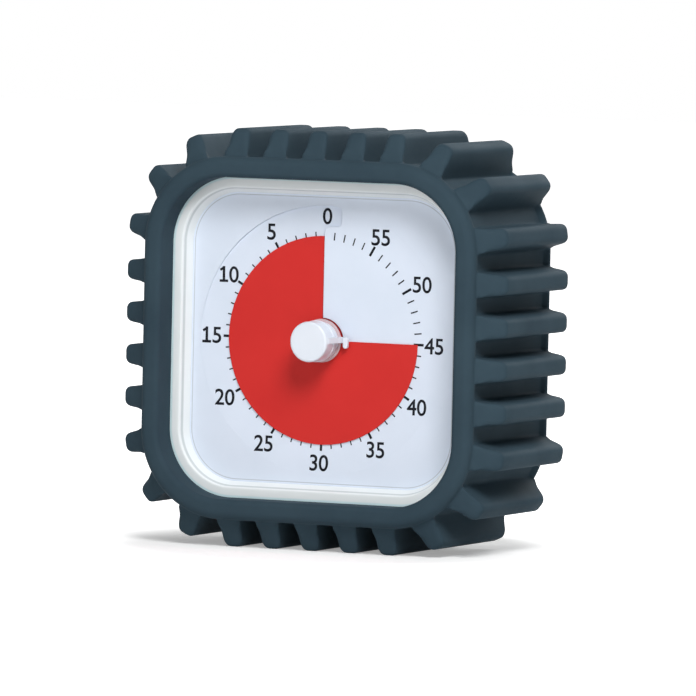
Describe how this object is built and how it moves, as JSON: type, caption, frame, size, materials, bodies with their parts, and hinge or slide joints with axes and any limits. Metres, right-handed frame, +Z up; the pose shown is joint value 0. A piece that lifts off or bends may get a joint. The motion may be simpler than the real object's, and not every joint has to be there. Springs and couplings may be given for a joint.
{
  "type": "visual countdown timer",
  "caption": "Desk countdown timer: ribbed square silicone sleeve, white dial with a winding red disc set by a central knob, battery clockwork inside.",
  "frame": {"origin": "under the middle of the timer, on the surface that its bottom ribs stand on", "axes": "+X to the right seen from the front, +Y to the back, +Z up; the dial faces -Y"},
  "size_m": [0.1076, 0.0508, 0.1077],
  "materials": {
    "sleeve": "soft satin silicone, dark slate blue",
    "case_white": "moulded satin white",
    "dial_white": "matt printed white",
    "inner_grey": "moulded grey",
    "disc_red": "matt red film",
    "knob_white": "satin white",
    "clear_film": "clear film",
    "steel": "turned steel",
    "brass": "rolled brass",
    "magnet": "dark magnet",
    "stator_steel": "stamped laminations",
    "copper": "enamelled copper wire",
    "movement_white": "moulded white",
    "board_green": "solder resist",
    "black_plastic": "moulded black",
    "cell_jacket": "plain printed jacket",
    "nickel": "nickel-plated spring steel"
  },
  "bodies": {
    "case": {"cover_sleeve": "sleeve", "front_housing": "case_white", "rear_housing": "case_white", "housing_screws": "steel", "dial_plate": "dial_white", "chassis_plate": "inner_grey", "chassis_screws": "steel", "stator": "stator_steel", "coil": "copper", "movement_front": "movement_white", "movement_rear": "movement_white", "movement_screws": "steel", "circuit_board": "board_green", "board_screws": "steel", "quartz_crystal": "nickel", "circuit_chip": "black_plastic", "buzzer": "black_plastic", "switch_body": "black_plastic", "battery_cell": "cell_jacket", "contact_spring": "nickel", "contact_plate": "nickel"},
    "knob": {"setting_knob": "knob_white", "centre_shaft": "steel", "clutch_spring": "brass"},
    "disc": {"red_disc": "disc_red", "disc_hub": "knob_white", "disc_washer": "clear_film"},
    "centre_wheel": {"centre_wheel": "brass"},
    "third_wheel": {"third_wheel": "brass"},
    "fourth_wheel": {"fourth_wheel": "brass"},
    "fifth_wheel": {"fifth_wheel": "brass"},
    "rotor": {"rotor": "magnet"},
    "switch": {"switch_slider": "black_plastic"},
    "door": {"battery_door": "case_white"}
  },
  "joints": [
    {"name": "knob_turn", "type": "hinge", "parent": "case", "child": "knob", "pos_m": [0, -0.0143, 0.05385], "axis": [0, -1, 0], "range_deg": [-270, 90]},
    {"name": "disc_climb", "type": "slide", "parent": "knob", "child": "disc", "axis": [0, -1, 0], "range_m": [-0.0006385, 0.0002135]},
    {"name": "rotor_turn", "type": "hinge", "parent": "case", "child": "rotor", "pos_m": [-0.0022, -0.0143, 0.039], "axis": [0, -1, 0], "continuous": true},
    {"name": "fifth_wheel_turn", "type": "hinge", "parent": "case", "child": "fifth_wheel", "pos_m": [-0.00872, -0.0143, 0.04074], "axis": [0, -1, 0], "continuous": true},
    {"name": "fourth_wheel_turn", "type": "hinge", "parent": "case", "child": "fourth_wheel", "pos_m": [-0.01365, -0.0143, 0.05001], "axis": [0, -1, 0], "continuous": true},
    {"name": "third_wheel_turn", "type": "hinge", "parent": "case", "child": "third_wheel", "pos_m": [-0.01178, -0.0143, 0.06065], "axis": [0, -1, 0], "continuous": true},
    {"name": "centre_wheel_turn", "type": "hinge", "parent": "case", "child": "centre_wheel", "pos_m": [0, -0.0143, 0.05385], "axis": [0, -1, 0], "continuous": true},
    {"name": "sound_switch", "type": "slide", "parent": "case", "child": "switch", "axis": [1, 0, 0], "range_m": [0, 0.0026]},
    {"name": "door_swing", "type": "hinge", "parent": "case", "child": "door", "pos_m": [0, 0.0231, 0.0233], "axis": [-1, 0, 0], "range_deg": [0, 90]}
  ],
  "couplings": [
    {"joint": "disc_climb", "follows": "knob_turn", "m_per_rad": 0.00013528},
    {"joint": "fifth_wheel_turn", "follows": "rotor_turn", "ratio": -0.2},
    {"joint": "fourth_wheel_turn", "follows": "rotor_turn", "ratio": 0.033333},
    {"joint": "third_wheel_turn", "follows": "rotor_turn", "ratio": -0.0041667},
    {"joint": "centre_wheel_turn", "follows": "rotor_turn", "ratio": 0.00055556}
  ]
}
